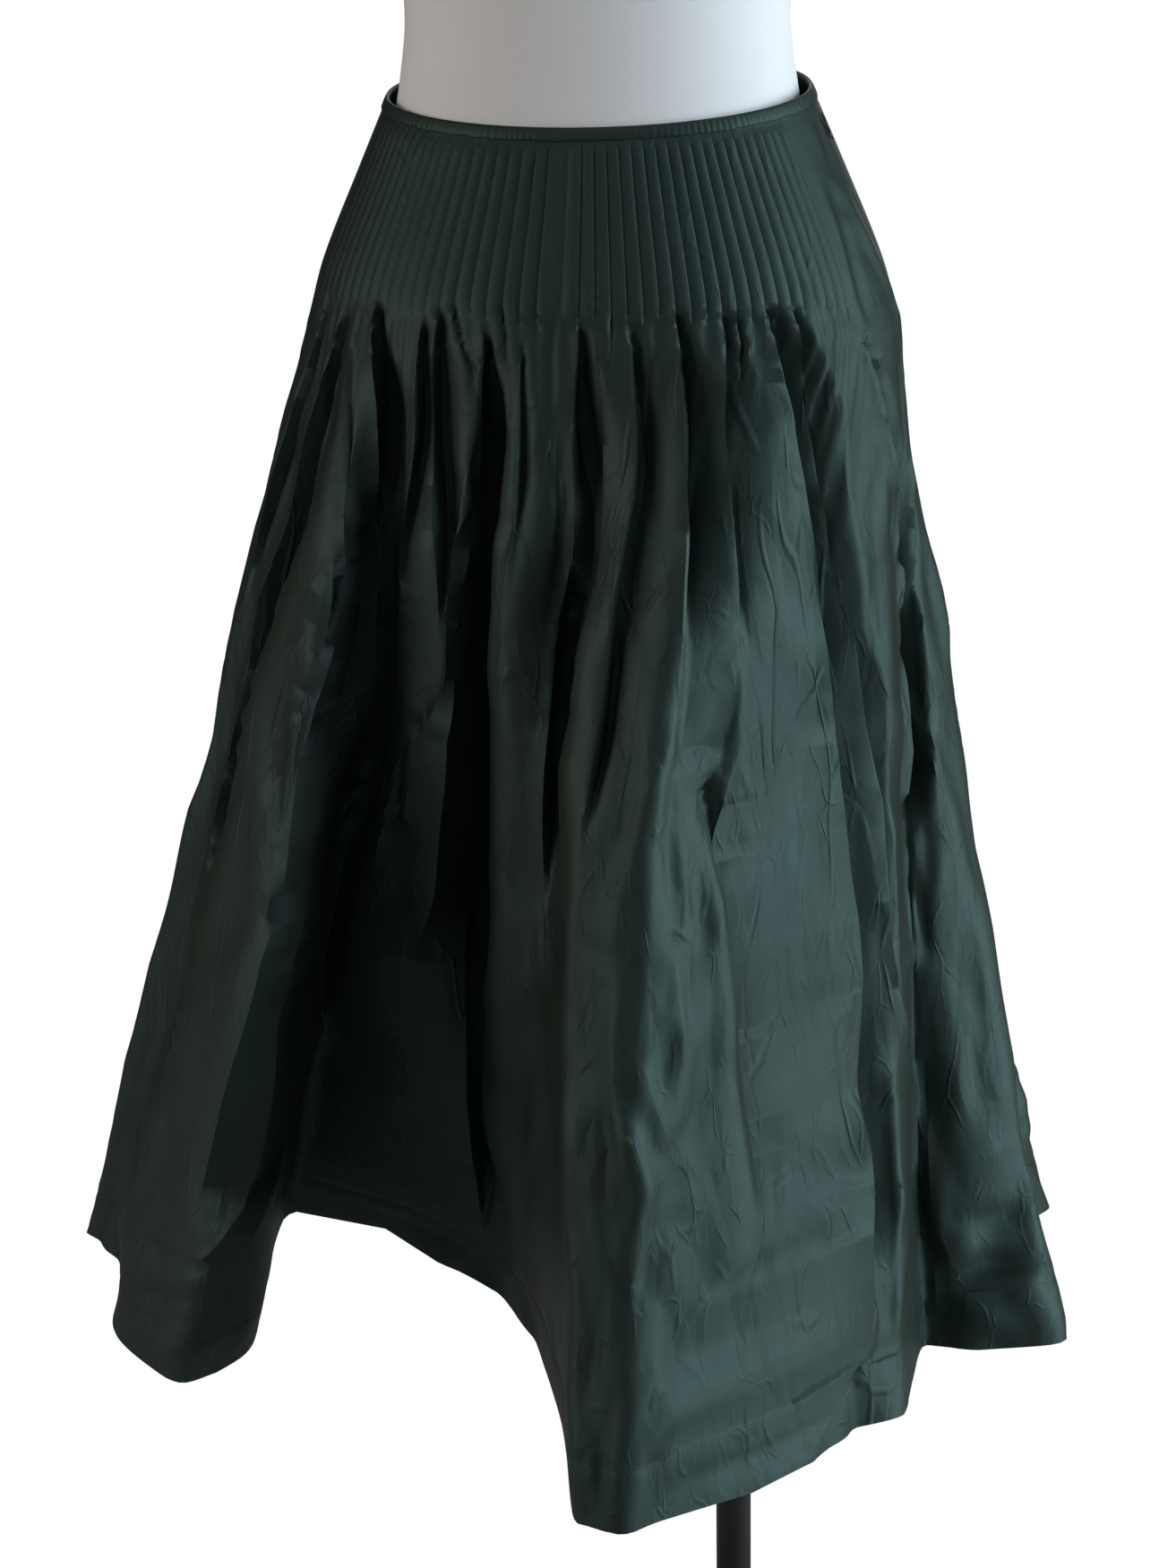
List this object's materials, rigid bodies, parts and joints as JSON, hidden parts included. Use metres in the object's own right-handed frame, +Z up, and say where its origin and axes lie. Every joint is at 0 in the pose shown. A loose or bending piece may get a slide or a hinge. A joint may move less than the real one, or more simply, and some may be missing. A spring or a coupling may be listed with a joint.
{
  "type": "a-line skirt with a pin-tucked yoke on a limbless dress form with a pole stand",
  "caption": "Flared midi skirt, pin-tucked over the hips and released into gathers and deep folds, on a smooth torso form with a round stand.",
  "frame": {"origin": "middle of the underside of the stand's round base plate, on the pole's axis", "axes": "+Z up the pole, -Y to the skirt's front, +X to the wearer's left, where the zip is"},
  "size_m": [0.6908, 0.6492, 1.6783],
  "materials": {
    "taffeta": "crisp dark green taffeta with a soft sheen",
    "binding": "dark green bias binding",
    "zip_tape": "matte woven tape",
    "zip_metal": "dark satin metal",
    "jersey": "matte white stretch jersey",
    "black_metal": "satin black powder coat"
  },
  "bodies": {
    "root": {"front_panel": "taffeta", "back_panel": "taffeta", "waist_edge": "binding", "side_zip": "zip_tape", "zip_pull": "zip_metal", "dress_form": "jersey", "neck_cap": "black_metal", "base_plate": "black_metal", "pole": "black_metal", "foot_collar": "black_metal", "form_socket": "black_metal"}
  },
  "joints": []
}
